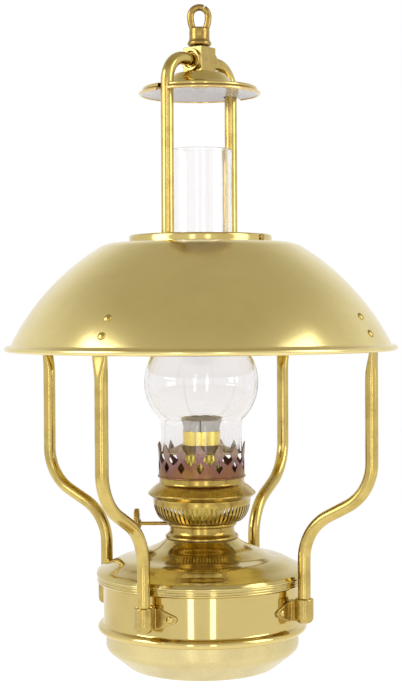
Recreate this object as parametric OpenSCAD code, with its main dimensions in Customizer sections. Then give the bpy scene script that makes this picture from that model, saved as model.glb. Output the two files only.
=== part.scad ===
// Hanging ship's oil lantern in polished brass.
// The swivel eye carries a block with two bent rods. The rods carry the shade,
// four bent arms hang from the shade, and the arms carry the band that holds the
// lift-out oil tank with its round-wick burner and ball chimney.
// Heights below are counted from the underside of the tank; hung() moves every
// piece down so that the origin is where the eye rests on its hook.

/* [Swivel eye] */
// Height of the hook's bearing point in the eye, above the tank's foot
eye_bearing_z = 523.4; // [523:0.1:524]
// Thickness of the bar that the eye is bent from
eye_bar_d = 5.4; // [5:0.1:5.6]
// Radius of the eye's top bend, to the middle of the bar
eye_bend_r = 7.1; // [7:0.1:7.3]
// Radius of the eye's round neck
eye_neck_r = 8.2; // [8:0.1:8.5]
// Direction that the eye's opening faces, about the vertical
eye_facing = -60.8; // [-90:1:90]

/* [Hanger] */
// Diameter of the two bent hanger rods
rod_d = 10; // [9:0.5:10]
// Distance of each hanger rod from the lantern's centre line
rod_r = 41.1; // [40:0.5:42]
// Radius of the bend at the top of each hanger rod, to its centre line
rod_bend_r = 20; // [18:1:22]
// Direction of the back hanger rod, from +X towards +Y
rod_angle = 81.2; // [80:1:83]
// Width of the square hanger block
block_w = 18.4; // [18:0.2:20]
// Height of the hanger block
block_h = 19.8; // [19:0.2:20]
// Height of the hanger block's underside
block_z = 474.2; // [474:0.1:475]

/* [Smoke bell] */
// Radius of the bell's enamelled disc
bell_r = 48.6; // [48:0.2:50]
// Height of the disc's lower edge
bell_z = 456.2; // [456:0.1:457]
// Rise of the disc for each millimetre towards its middle
bell_slope = 0.2; // [0.15:0.01:0.22]
// Half the width of the notches that the hanger rods pass through
notch_half_w = 5.9; // [5.6:0.1:6.2]

/* [Shade] */
// Radius of the shade's long side curve
shade_curve_r = 193; // [190:0.5:195]
// Thickness of the spun shade
shade_t = 1; // [0.8:0.1:1.2]
// Height of the shade's flat top
shade_top_z = 338.8; // [338:0.1:340]
// Radius of the hole for the chimney in the shade and its collar
chimney_hole_r = 26.8; // [26.4:0.1:28]
// Thickness of the rolled rim
rim_d = 4.5; // [4:0.1:5]
// Radius of the collar on top of the shade
collar_r = 57; // [55:0.5:60]
// Height of the collar
collar_h = 6.2; // [6:0.1:7]

/* [Arms] */
// Diameter of the arm tubes
arm_d = 10; // [9.6:0.1:10]
// Wall of the arm tubes
arm_wall = 1.4; // [1:0.1:2]
// Distance of the arms' lower ends from the centre line
arm_low_r = 90.6; // [90.6:0.1:92]
// Radius of both bends in an arm, to the tube's centre line
arm_bend_r = 38.5; // [36:0.5:40]
// Lean of the middle of an arm from the vertical, in degrees
arm_lean = 62; // [58:1:64]
// Length of the straight middle of an arm
arm_straight = 18; // [16:0.5:20]
// Height at which an arm starts to bend out
arm_bend_z = 92.4; // [92:0.1:94]
// Diameter of the cast socket that holds the lower end of an arm
socket_d = 14.4; // [14:0.1:15]

/* [Holder band] */
// Outer radius of the band
band_r = 79.2; // [79:0.1:80]
// Thickness of the band
band_t = 1.4; // [1:0.1:1.4]
// Height of the band's top edge, which the tank's lip rests on
band_top_z = 68.4; // [68:0.1:69]
// Outer radius of the band's rolled lower flange
flange_r = 83.8; // [83:0.1:84]

/* [Tank] */
// Radius of the tank's side wall
tank_r = 77.2; // [76:0.1:77.4]
// Radius of the tank's flat foot
foot_r = 57.5; // [55:0.5:60]
// Thickness of the tank's sheet
tank_t = 1; // [0.8:0.1:1.2]
// Largest radius of the tank's domed top
lip_r = 84.8; // [84:0.1:85]
// Radius of the opening in the tank's neck
neck_r = 28.65; // [28.6:0.01:28.7]

/* [Burner] */
// Outer radius of the round wick tube
wick_tube_r = 15.1; // [15:0.1:15.3]
// Height of the top of the wick tube
wick_tube_top = 190.8; // [190:0.1:192]
// Number of air slots in the burner's basket
basket_slots = 64; // [48:2:72]
// Number of points on the burner's crown
crown_points = 14; // [10:1:16]
// Radius of the crown's wall
crown_r = 34.4; // [34:0.1:35]
// Direction that the wick winder's knob points to, from +X towards +Y
winder_angle = 209.2; // [200:1:220]
// Radius of the winder's knob
knob_r = 12.2; // [11:0.1:13]
// Distance of the winder's spindle from the wick's centre line
winder_offset = 18.7; // [18.7:0.1:19]
// Height of the winder's spindle
winder_z = 111.6; // [111:0.1:112]
// Diameter of the winder's spindle
spindle_d = 3; // [2.6:0.1:3]

/* [Chimney] */
// Outer radius of the chimney's foot
chimney_foot_r = 32.3; // [32:0.1:32.6]
// Outer radius of the chimney's ball
chimney_ball_r = 45.7; // [44:0.1:46]
// Outer radius of the chimney's long tube
chimney_tube_r = 25.2; // [24.6:0.1:25.4]
// Height of the chimney's top
chimney_top = 413; // [400:0.2:416]
// Thickness of the glass
glass_t = 2; // [1.5:0.1:2]

/* [Hidden] */
$fn = 64;
eps = 0.02;
brass = "#c9a94f";
satin_brass = "#b09a5c";
dark_brass = "#8a6a2c";

arm_turns = [-90, 0, 90, 180];
rod_end_r = 4;            // threaded lower end of a hanger rod
fit = 0.05;               // radial clearance of a running fit

// Shade side curve: centre and the two angles that it runs between
shade_cx = -20.9;
shade_cz = 171.3;
shade_a0 = 25.6;
shade_a1 = 57.8;
shade_steps = 16;
shoulder_r = (shade_top_z - shade_cz - shade_curve_r * sin(shade_a1)) / (1 - sin(shade_a1));
shoulder_cx = shade_cx + (shade_curve_r - shoulder_r) * cos(shade_a1);
rim_x = 154.4;
rim_z = 255.05;
strap_t = 3;              // thickness of an arm's flattened end
strap_w = 12;
strap_gap = 0.05;         // between an arm's flattened end and the shade
rivet_angles = [29.7, 34.2];

arm_rise = 2 * arm_bend_r * sin(arm_lean) + arm_straight * cos(arm_lean);
arm_top_r = arm_low_r + 2 * arm_bend_r * (1 - cos(arm_lean)) + arm_straight * sin(arm_lean);
arm_top_bend_z = arm_bend_z + arm_rise;
arm_tube_top = 250;
socket_z = 42;
socket_top = 61.5;
socket_floor = 47;

tank_side_z = 19.6;
dome_r1 = 106;            // long outward curve of the tank's top
dome_r2 = 70;             // inward sweep up to the neck
dome_join_r = 55;
dome_join_z = 90;
dome_join_a = 14;

burner_foot_z = 103.4;
basket_z = 116.3;
basket_top_z = 134;
dish_tip_r = 43.4;
dish_tip_z = 138.8;
dish_neck_r = 33.9;
dish_neck_z = 147;
crown_z = 151.6;
crown_tip_z = 177.2;
seat_z = 172;
wick_top = 199.6;
wick_out_r = 14.4;
wick_in_r = 12.4;
wick_foot = 14;
feed_wheel_r = 4;
knob_at = 53;             // along the spindle, from the wick's centre line

// Points of an arc in a profile plane, from angle a0 to a1, both ends included
function arc(cx, cz, r, a0, a1, steps) =
    [for (i = [0 : steps]) let (a = a0 + (a1 - a0) * i / steps) [cx + r * cos(a), cz + r * sin(a)]];

// Moves a piece from heights above the tank's foot to heights below the hook
module hung() {
    translate([0, 0, -eye_bearing_z]) children();
}

// A flat ring or a short tube standing at height z
module tube(outer_r, inner_r, z, h) {
    translate([0, 0, z]) difference() {
        cylinder(r = outer_r, h = h);
        translate([0, 0, -1]) cylinder(r = inner_r, h = h + 2);
    }
}

module screw_hole(r, z, h) {
    translate([0, 0, z]) cylinder(r = r, h = h);
}

// ---- Swivel eye and hanger block ----

module eye_loop() {
    lean_r = 5.9;
    leg = 11;
    translate([0, 0, 519]) rotate([90, 0, 0]) rotate_extrude(angle = 180)
        translate([eye_bend_r, 0]) circle(d = eye_bar_d);
    for (side = [-1, 1]) translate([side * eye_bend_r, 0, 519]) {
        sphere(d = eye_bar_d);
        rotate([0, side * atan((eye_bend_r - lean_r) / leg), 0])
            translate([0, 0, -leg]) cylinder(d = eye_bar_d, h = leg);
    }
}

module hanging_eye() {
    bead = 9.6;
    color(brass) hung() rotate([0, 0, eye_facing + 90]) difference() {
        union() {
            eye_loop();
            screw_hole(eye_neck_r, 498.8, 11.8);
            translate([0, 0, 497.2]) rotate_extrude() intersection() {
                translate([bead - 2.2, 0]) circle(r = 2.2);
                translate([0, -2.2]) square([bead + 1, 4.4]);
            }
            screw_hole(bead - 2.2, 495, 4.4);
        }
        screw_hole(3 + fit, 490, 30);
        screw_hole(4.6, 507.9, 2.8);
        // Slit where the bar's bent end meets
        translate([0.9, 0, 526]) rotate([0, 32, 0]) cube([0.9, 9, 8], center = true);
    }
}

module swivel_screw() {
    color(brass) hung() difference() {
        union() {
            screw_hole(3, 481.8, 26.4);
            screw_hole(4.3, 508, 2.2);
        }
        translate([0, 0, 510.2]) cube([12, 1, 1.6], center = true);
    }
}

module hanger_block() {
    rod_z = bend_top_z();
    color(brass) hung() rotate([0, 0, rod_angle]) difference() {
        union() {
            translate([0, 0, block_z + block_h / 2]) cube([block_w, block_w, block_h], center = true);
            for (turn = [0, 180]) rotate([0, 0, turn])
                translate([block_w / 2 - 1, 0, rod_z]) rotate([0, 90, 0]) cylinder(r = 8.8, h = 4.5);
        }
        for (turn = [0, 180]) rotate([0, 0, turn]) translate([0, 0, rod_z]) rotate([0, 90, 0]) {
            translate([0, 0, 4.9]) cylinder(r = rod_d / 2, h = 20);
            translate([0, 0, block_w / 2 + 1]) cylinder(r = rod_d / 2 + 1.5, h = 8);
        }
        screw_hole(3, 481.8, 20);
        screw_hole(3, block_z - 1, 5.5);
    }
}

function bend_top_z() = 483.4;

module hanger_rod(turn) {
    bend_z = bend_top_z() - rod_bend_r;
    foot_z = shade_top_z + collar_h;
    color(brass) hung() rotate([0, 0, turn]) {
        translate([rod_r, 0, foot_z]) cylinder(d = rod_d, h = bend_z - foot_z);
        translate([rod_r, 0, foot_z - 15]) cylinder(r = rod_end_r, h = 15);
        translate([rod_r - rod_bend_r, 0, bend_z]) rotate([90, 0, 0]) rotate_extrude(angle = 90)
            translate([rod_bend_r, 0]) circle(d = rod_d);
        translate([4.9, 0, bend_top_z()]) rotate([0, 90, 0])
            cylinder(d = rod_d, h = rod_r - rod_bend_r - 4.9);
    }
}

module hanger_rod_front() { hanger_rod(rod_angle + 180); }
module hanger_rod_back() { hanger_rod(rod_angle); }

// ---- Smoke bell ----

module rod_notches() {
    rotate([0, 0, rod_angle]) for (turn = [0, 180]) rotate([0, 0, turn]) {
        translate([rod_r, 0, 440]) cylinder(r = notch_half_w, h = 50);
        translate([rod_r, -notch_half_w, 440]) cube([30, 2 * notch_half_w, 50]);
    }
}

module bell_washer() {
    color(brass) hung() tube(7.5, 3.1, block_z - 1, 1);
}

module bell_cap() {
    top = block_z - 1;
    t = 0.9;
    bead_z = bell_z + 4.4;
    outer = concat([[3.1, top]], arc(18.6, top - 3, 3, 90, 25, 4),
        arc(33.8, top + 0.9, 11, 205, 246, 5), [[44.2, bead_z + 1.2]]);
    inner = concat([[44.2, bead_z + 1.2 - t]], arc(33.8, top + 0.9, 11 + t, 246, 205, 5),
        arc(18.6, top - 3, 3 - t, 25, 90, 4), [[3.1, top - t]]);
    color(brass) hung() difference() {
        union() {
            rotate_extrude() polygon(concat(outer, inner));
            rotate_extrude() translate([44.2, bead_z]) circle(r = 1.6, $fn = 24);
        }
        rod_notches();
    }
}

module bell_distance_tube() {
    foot_z = bell_z + 1.8 + bell_slope * (bell_r - 13.2) + eps;
    color(brass) hung() tube(5, 3.1, foot_z, block_z - 1.9 - eps - foot_z);
}

module bell_disc() {
    t = 1.2;
    flat_r = 12;
    rise = bell_slope * (bell_r - 1.2 - flat_r);
    edge_z = bell_z + 1.2;
    flat_z = edge_z - 0.6 + rise;
    color("white") hung() difference() {
        rotate_extrude() union() {
            polygon([[3.1, flat_z], [flat_r, flat_z], [bell_r - 1.2, edge_z - 0.6],
                [bell_r - 1.2, edge_z + 0.6], [flat_r, flat_z + t], [3.1, flat_z + t]]);
            translate([bell_r - 1.2, edge_z]) circle(r = 1.2, $fn = 24);
        }
        rod_notches();
    }
}

module bell_screw() {
    flat_z = bell_z + 0.6 + bell_slope * (bell_r - 13.2);
    color(brass) hung() {
        screw_hole(3, flat_z - 0.5, block_z + 4.5 - flat_z + 0.5);
        screw_hole(6, flat_z - 1.4, 1.4);
    }
}

// ---- Shade, its collar and fasteners ----

module rod_holes(r) {
    rotate([0, 0, rod_angle]) for (x = [-rod_r, rod_r])
        translate([x, 0, shade_top_z - 10]) cylinder(r = r, h = 30);
}

module shade_collar() {
    t = 1.6;
    top = shade_top_z + collar_h;
    color(brass) hung() difference() {
        rotate_extrude() difference() {
            polygon(concat([[chimney_hole_r, shade_top_z], [collar_r, shade_top_z]],
                arc(collar_r - 2, top - 2, 2, 0, 90, 4),
                arc(chimney_hole_r + 1, top - 1, 1, 90, 180, 3)));
            translate([chimney_hole_r + t, shade_top_z - 1])
                square([collar_r - chimney_hole_r - 2 * t, collar_h - t + 1]);
        }
        rod_holes(rod_end_r + fit);
        rotate([0, 0, -4]) translate([collar_r - 8, 0, top - collar_h / 2]) rotate([0, 90, 0])
            cylinder(r = 1.5, h = 12);
    }
}

module collar_screw() {
    color(brass) hung() rotate([0, 0, -4])
        translate([collar_r - 5, 0, shade_top_z + collar_h / 2]) rotate([0, 90, 0]) difference() {
            union() {
                cylinder(r = 1.5, h = 5.4);
                translate([0, 0, 5]) cylinder(r = 2.6, h = 1.2);
            }
            translate([0, 0, 6.2]) cube([8, 0.7, 1], center = true);
        }
}

module rod_washers() {
    color(brass) hung() rotate([0, 0, rod_angle]) for (x = [-rod_r, rod_r])
        translate([x, 0, 0]) tube(8, rod_end_r + fit, shade_top_z - shade_t - 1.2, 1.2);
}

module rod_nuts() {
    nut_h = 5;
    color(brass) hung() rotate([0, 0, rod_angle]) for (x = [-rod_r, rod_r])
        translate([x, 0, shade_top_z - shade_t - 1.2 - nut_h]) difference() {
            cylinder(r = 7.5, h = nut_h, $fn = 6);
            translate([0, 0, -1]) cylinder(r = rod_end_r, h = nut_h + 2);
        }
}

// Side profile of the shade at a depth under its outer face
function shade_side(depth, first, last) =
    arc(shade_cx, shade_cz, shade_curve_r - depth, step_angle(first), step_angle(last), last - first);
function step_angle(i) = shade_a0 + (shade_a1 - shade_a0) * i / shade_steps;
function shade_r(depth, i) = shade_cx + (shade_curve_r - depth) * cos(step_angle(i));
function shade_shoulder(depth) =
    arc(shoulder_cx, shade_top_z - shoulder_r, shoulder_r - depth, shade_a1 + 8, 90, 3);

module rivet_axis(angle) {
    translate([shade_cx + shade_curve_r * cos(angle), 0, shade_cz + shade_curve_r * sin(angle)])
        rotate([0, 90 - angle, 0]) children();
}

module shade() {
    outer = concat(shade_side(0, 0, shade_steps), shade_shoulder(0));
    inner = concat(shade_side(shade_t, 0, shade_steps), shade_shoulder(shade_t));
    last = len(inner) - 1;
    color(brass) hung() difference() {
        rotate_extrude($fn = 96) union() {
            polygon(concat(outer, [[chimney_hole_r, shade_top_z], [chimney_hole_r, shade_top_z - shade_t]],
                [for (i = [0 : last]) inner[last - i]]));
            translate([rim_x, rim_z]) circle(d = rim_d, $fn = 24);
        }
        rod_holes(rod_end_r + fit);
        for (turn = arm_turns, a = rivet_angles) rotate([0, 0, turn]) rivet_axis(a)
            translate([0, 0, -6]) cylinder(r = 1.6, h = 9);
    }
}

module shade_rivets() {
    head = 3.25;
    color(brass) hung() for (turn = arm_turns, a = rivet_angles) rotate([0, 0, turn]) rivet_axis(a) {
        translate([0, 0, -shade_t - strap_t - 0.2]) cylinder(r = 1.6, h = shade_t + strap_t + 0.3);
        rivet_head(head, 1.6);
        translate([0, 0, -shade_t - strap_t - 0.15]) mirror([0, 0, 1]) rivet_head(head, 1.4);
    }
}

// Domed rivet head standing on its flat face
module rivet_head(r, h) {
    ball = (r * r + h * h) / (2 * h);
    a0 = asin((ball - h) / ball);
    rotate_extrude() polygon(concat([[0, 0]], arc(0, h - ball, ball, a0, 90, 5)));
}

// ---- Arms and sockets ----

// Centre line of an arm as solid rod of radius r. Its straights are a hair thinner
// than its bends and run a little way into them.
module arm_path(r, low_z, top_z) {
    lap = 0.5;
    straight_r = r - 0.05;
    translate([arm_low_r, 0, low_z]) cylinder(r = straight_r, h = arm_bend_z - low_z + lap);
    translate([arm_low_r + arm_bend_r, 0, arm_bend_z]) rotate([90, 0, 0])
        rotate([0, 0, 180 - arm_lean]) rotate_extrude(angle = arm_lean)
            translate([arm_bend_r, 0]) circle(r = r);
    translate([arm_low_r + arm_bend_r * (1 - cos(arm_lean)), 0, arm_bend_z + arm_bend_r * sin(arm_lean)])
        rotate([0, arm_lean, 0]) translate([0, 0, -lap]) cylinder(r = straight_r, h = arm_straight + 2 * lap);
    translate([arm_top_r - arm_bend_r, 0, arm_top_bend_z]) rotate([90, 0, 0])
        rotate([0, 0, -arm_lean]) rotate_extrude(angle = arm_lean)
            translate([arm_bend_r, 0]) circle(r = r);
    translate([arm_top_r, 0, arm_top_bend_z - lap]) cylinder(r = straight_r, h = top_z - arm_top_bend_z + lap);
}

// Flattened end of an arm, bent to lie against the inside of the shade
module arm_strap() {
    first = 1;
    last = 6;
    outer_r = shade_r(shade_t + strap_gap, first);
    inner_side = shade_side(shade_t + strap_t + strap_gap, first, last);
    intersection() {
        rotate([0, 0, -5]) rotate_extrude(angle = 10) polygon(concat(
            [[outer_r - strap_t, 244], [outer_r, 244]], shade_side(shade_t + strap_gap, first, last),
            [for (i = [0 : last - first]) inner_side[last - first - i]]));
        translate([100, -strap_w / 2, 240]) cube([80, strap_w, 60]);
    }
}

module arm(turn) {
    plug_z = 236;
    flat_out = shade_r(shade_t + strap_gap, 1);
    flat_in = flat_out - strap_t;
    color(brass) hung() rotate([0, 0, turn]) difference() {
        union() {
            difference() {
                arm_path(arm_d / 2, socket_floor, plug_z);
                arm_path(arm_d / 2 - arm_wall, socket_floor - 1, plug_z + 1);
            }
            // The tube's end is squeezed flat between plug_z and the strap
            intersection() {
                translate([arm_top_r, 0, plug_z - 0.6]) cylinder(r = arm_d / 2, h = arm_tube_top - plug_z + 0.6);
                translate([0, arm_d, 0]) rotate([90, 0, 0]) linear_extrude(2 * arm_d)
                    polygon([[arm_top_r - arm_d, plug_z - 1], [arm_top_r + arm_d, plug_z - 1],
                        [arm_top_r + arm_d, plug_z - 0.3], [flat_out, arm_tube_top],
                        [flat_in, arm_tube_top], [arm_top_r - arm_d / 2 - 0.3, plug_z + 0.4]]);
            }
            arm_strap();
        }
        for (a = rivet_angles) rivet_axis(a) translate([0, 0, -8]) cylinder(r = 1.6, h = 10);
    }
}

module arm_front() { arm(arm_turns[0]); }
module arm_right() { arm(arm_turns[1]); }
module arm_back() { arm(arm_turns[2]); }
module arm_left() { arm(arm_turns[3]); }

ear_angle = 15.5;         // from the socket to the tip of its ear
ear_rivet_angle = 11.4;
ear_z = 51.5;             // height of the ear's tip

// Cast socket with a tongue-shaped ear that lies on the band; hand is 1 or -1
module socket(turn, hand) {
    reach = (band_r + 1) * sin(ear_angle);
    color(brass) hung() rotate([0, 0, turn]) difference() {
        union() {
            translate([arm_low_r, 0, 0]) rotate_extrude() polygon(concat([[0, socket_z]],
                arc(socket_d / 2 - 4.6, socket_z + 4.6, 4.6, -90, 0, 5),
                [[socket_d / 2, socket_top - 0.6], [socket_d / 2 - 0.6, socket_top], [0, socket_top]]));
            translate([band_r - 1, -4.4, 44]) cube([arm_low_r - band_r, 8.8, 15.4]);
            intersection() {
                tube(band_r + 2, band_r - 2, 40, 24);
                mirror([0, hand > 0 ? 0 : 1, 0]) translate([60, 0, 0]) rotate([90, 0, 90]) linear_extrude(30)
                    polygon(concat([[0, 43.4], [6.5, 43.4]],
                        arc(reach - 3.2, ear_z, 3.2, -62, 62, 6), [[6.5, 59.6], [0, 59.6]]));
            }
        }
        translate([0, 0, 30]) cylinder(r = band_r, h = 50, $fn = 128);
        translate([arm_low_r, 0, socket_floor]) cylinder(d = arm_d, h = 30);
        rotate([0, 0, hand * ear_rivet_angle]) translate([60, 0, ear_z]) rotate([0, 90, 0])
            cylinder(r = 1.4, h = 30);
    }
}

module socket_front() { socket(arm_turns[0], 1); }
module socket_right() { socket(arm_turns[1], -1); }
module socket_back() { socket(arm_turns[2], 1); }
module socket_left() { socket(arm_turns[3], -1); }

module socket_rivets() {
    color(brass) hung() for (i = [0 : 3]) {
        hand = i % 2 == 0 ? 1 : -1;
        rotate([0, 0, arm_turns[i] + hand * ear_rivet_angle]) translate([band_r, 0, ear_z]) rotate([0, 90, 0]) {
            translate([0, 0, -band_t]) cylinder(r = 1.4, h = band_t + 2.1);
            translate([0, 0, 2.02]) rivet_head(2.8, 1.5);
        }
    }
}

module holder_band() {
    roll = 3.25;
    color(brass) hung() difference() {
        rotate_extrude($fn = 128) difference() {
            union() {
                translate([band_r - band_t, 33]) square([band_t, band_top_z - 33]);
                translate([flange_r - roll, 32.8]) circle(r = roll, $fn = 32);
            }
            translate([0, 20]) square([band_r - band_t, 50]);
        }
        for (i = [0 : 3]) rotate([0, 0, arm_turns[i] + (i % 2 == 0 ? 1 : -1) * ear_rivet_angle])
            translate([60, 0, ear_z]) rotate([0, 90, 0]) cylinder(r = 1.4, h = 30);
    }
}

// ---- Tank ----

// Points of the tank's top from the lip up to the neck, at a depth under the sheet
function dome_top(depth) =
    let (cx1 = dome_join_r - dome_r1 * sin(dome_join_a), cz1 = dome_join_z - dome_r1 * cos(dome_join_a),
        cx2 = dome_join_r + dome_r2 * sin(dome_join_a), cz2 = dome_join_z + dome_r2 * cos(dome_join_a),
        lip_a = asin((lip_r - cx1) / dome_r1), neck_a = asin((cx2 - neck_r) / dome_r2))
    concat(arc(cx1, cz1, dome_r1 - depth, 90 - lip_a, 90 - dome_join_a, 8),
        arc(cx2, cz2, dome_r2 + depth, 269 - dome_join_a, 270 - neck_a, 8));

module tank_bowl() {
    curve = 8.5;
    wall_top = band_top_z + 5;
    function side(t) = concat([[0, t], [foot_r - 0.4 * t, t], [foot_r + 1.7 - 0.7 * t, 1.6 + 0.7 * t]],
        arc(tank_r - curve, tank_side_z, curve - t, -50, 0, 5), [[tank_r - t, wall_top]]);
    outer = side(0);
    inner = side(tank_t);
    last = len(inner) - 1;
    color(satin_brass) hung() rotate_extrude($fn = 128)
        polygon(concat(outer, [for (i = [0 : last]) inner[last - i]]));
}

module tank_dome() {
    bead = 0.5;
    lip = [[tank_r + eps, band_top_z], [83, band_top_z], [83.4, band_top_z + 0.5]];
    beads = [for (i = [0 : 2]) each arc(83.4, band_top_z + 1.5 + 1.9 * i, bead + 0.3, -70, 70, 3)];
    edge = [[lip_r, band_top_z + 7.4]];
    inner = dome_top(tank_t);
    last = len(inner) - 1;
    color(brass) hung() rotate_extrude($fn = 128) polygon(concat(lip, beads, edge, dome_top(0),
        [for (i = [0 : last - 1]) inner[last - i]],
        [[lip_r - 2.6, band_top_z + 7], [82, band_top_z + tank_t], [tank_r + eps, band_top_z + tank_t]]));
}

module tank_collar() {
    color(brass) hung() tube(neck_r - 0.8, 23.5, 95, 7.2);
}

// ---- Burner ----

module burner_gasket() {
    color("#4a3a2a") hung() tube(28.6, 23.9, 102.95, burner_foot_z - 102.95);
}

module burner_ring() {
    color(brass) hung() difference() {
        rotate_extrude() union() {
            polygon([[21.8, 94], [23.4, 94], [23.4, burner_foot_z], [29.2, burner_foot_z],
                [29.4, burner_foot_z + 0.6], [29.2, burner_foot_z + 1.3], [26.3, 107.8], [25.9, 109],
                [25.9, basket_z], [24.4, basket_z], [24.4, 105], [21.8, 105]]);
            translate([26.7, basket_z - 1.6]) circle(r = 1.5, $fn = 24);
        }
        rotate([0, 0, winder_angle]) translate([0, -winder_offset, winder_z]) rotate([0, 90, 0]) {
            translate([0, 0, 10]) cylinder(d = 6, h = 20);
            translate([0, 0, -19.2]) cylinder(r = spindle_d / 2 + fit, h = 8);
        }
    }
}

module burner_floor() {
    color(dark_brass) hung() tube(24.4, wick_tube_r, 105, 0.8);
}

// Side of the basket at an angle up its curve, for an inner or outer face
function basket_side(t, i, steps) =
    let (a = 90 * i / steps) [28.5 + (10.5 - t) * cos(a), basket_top_z - (basket_top_z - basket_z - t) * sin(a)];

module burner_basket() {
    t = 0.8;
    steps = 8;
    slot_w = 1.6;
    color(brass) hung() difference() {
        rotate_extrude() polygon(concat([for (i = [0 : steps]) basket_side(0, i, steps)],
            [[24.4, basket_z], [24.4, basket_z + t]],
            [for (i = [0 : steps]) basket_side(t, steps - i, steps)]));
        for (i = [0 : basket_slots - 1]) rotate([0, 0, 360 * (i + 0.5) / basket_slots])
            translate([29.6, -slot_w / 2, basket_z + 0.9]) cube([14, slot_w, 12.3]);
    }
}

module burner_dish() {
    t = 0.8;
    color(dark_brass) hung() rotate_extrude() polygon([
        [38.1, basket_top_z], [39.2, basket_top_z], [39.4, basket_top_z + 1], [dish_tip_r - 0.3, dish_tip_z - 0.4],
        [dish_tip_r, dish_tip_z], [dish_tip_r - 0.3, dish_tip_z + 0.5], [38, dish_tip_z + 5.6],
        [dish_neck_r + 0.4, dish_neck_z - 0.4], [dish_neck_r, dish_neck_z], [dish_neck_r, crown_z],
        [dish_neck_r - t, crown_z], [dish_neck_r - t, dish_neck_z - 0.5], [38 - t, dish_tip_z + 4.8],
        [dish_tip_r - 1.6, dish_tip_z], [38.7, basket_top_z + 1.6]]);
}

// One opening between two neighbouring points of the crown, about its middle line
module crown_gap(pitch) {
    rotate([90, 0, 90]) linear_extrude(10) polygon([
        [-pitch / 2, crown_tip_z + 4], [-pitch / 2, crown_tip_z], [-pitch / 2 + 1.4, 175.6],
        [-pitch / 2 + 4.2, 172.4], [-pitch / 2 + 4.2, 170.4], [-pitch / 2 + 2.6, 167.6], [0, 163.4],
        [pitch / 2 - 2.6, 167.6], [pitch / 2 - 4.2, 170.4], [pitch / 2 - 4.2, 172.4],
        [pitch / 2 - 1.4, 175.6], [pitch / 2, crown_tip_z], [pitch / 2, crown_tip_z + 4]]);
}

module burner_crown() {
    t = 0.8;
    pitch = 2 * PI * crown_r / crown_points;
    first = -60.8 - 2.1;
    color(dark_brass) hung() difference() {
        rotate_extrude() union() {
            polygon([[32.6, crown_z], [crown_r, crown_z], [crown_r, crown_tip_z + 2],
                [crown_r - t, crown_tip_z + 2], [crown_r - t, crown_z + t], [32.6, crown_z + t]]);
            translate([crown_r, crown_z + 0.95]) circle(r = 0.9, $fn = 16);
        }
        for (i = [0 : crown_points - 1]) rotate([0, 0, first + 360 * i / crown_points]) {
            translate([crown_r - 5, 0, 161.2]) rotate([90, 0, 90]) linear_extrude(10)
                polygon([[0, -4.4], [3.1, 0], [0, 4.4], [-3.1, 0]]);
            rotate([0, 0, 180 / crown_points]) translate([crown_r - 5, 0, 0]) crown_gap(pitch);
        }
    }
}

module chimney_seat() {
    t = 0.6;
    color(dark_brass) hung() rotate_extrude() polygon([
        [crown_r - 0.82, seat_z - t], [crown_r - 0.82, seat_z], [28.6, seat_z], [17, seat_z + 5.6],
        [wick_tube_r, seat_z + 5.6], [wick_tube_r, seat_z + 5], [16.8, seat_z + 5], [28.4, seat_z - t]]);
}

module wick_tube() {
    color(brass) hung() difference() {
        tube(wick_tube_r, wick_out_r + 0.2, 100, wick_tube_top - 100);
        // Window for the feed wheels, and the air window on the other side
        rotate([0, 0, winder_angle]) {
            translate([-6.5, -20, winder_z - 4.8]) cube([13, 14, 9.6]);
            translate([-4, 8, 119]) cube([8, 12, 9]);
        }
    }
}

module air_tube() {
    color(brass) hung() difference() {
        tube(wick_in_r - 0.2, wick_in_r - 0.8, 106, wick_tube_top - 107);
        rotate([0, 0, winder_angle]) translate([-4, 6, 119]) cube([8, 12, 9]);
    }
}

module wick() {
    color("ivory") hung() difference() {
        tube(wick_out_r, wick_in_r, wick_foot, wick_top - wick_foot);
        rotate([0, 0, winder_angle]) translate([-0.4, 8, wick_foot - 1]) cube([0.8, 12, 200]);
    }
}

// ---- Wick winder ----

// Puts children on the winder's axis: their z runs towards the knob
module on_winder(along) {
    hung() rotate([0, 0, winder_angle]) translate([along, -winder_offset, winder_z])
        rotate([0, 90, 0]) children();
}

module spindle_bush() {
    color(brass) on_winder(14.5) difference() {
        cylinder(d = 6, h = 7.5);
        translate([0, 0, -1]) cylinder(r = spindle_d / 2 + fit, h = 10);
    }
}

module winder_spindle() {
    color(brass) on_winder(-18.6) cylinder(d = spindle_d, h = 18.6 + knob_at + 3.4);
}

module feed_wheels() {
    teeth = 12;
    color(dark_brass) for (along = [-5.4, 3.8]) on_winder(along) difference() {
        cylinder(r = feed_wheel_r, h = 1.6);
        translate([0, 0, -1]) cylinder(d = spindle_d, h = 4);
        for (i = [0 : teeth - 1]) rotate([0, 0, 360 * i / teeth]) translate([feed_wheel_r + 0.15, 0, -1])
            cylinder(r = 0.8, h = 4, $fn = 24);
    }
}

module winder_knob() {
    half = 2.3;
    color(brass) on_winder(knob_at) rotate_extrude() polygon(concat(
        [[spindle_d / 2, -half - 1.2], [3.4, -half - 1.2], [3.4, -half + 0.4], [knob_r - 3.4, -half + 0.4],
            [knob_r - 2.6, -half]],
        arc(knob_r - 1.5, -half + 1.5, 1.5, -90, 0, 3), arc(knob_r - 1.5, half - 1.5, 1.5, 0, 90, 3),
        [[knob_r - 2.6, half], [knob_r - 3.4, half - 0.4], [3.4, half - 0.4], [3.4, half + 0.4],
            [spindle_d / 2, half + 0.4]]));
}

// ---- Chimney ----

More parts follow.
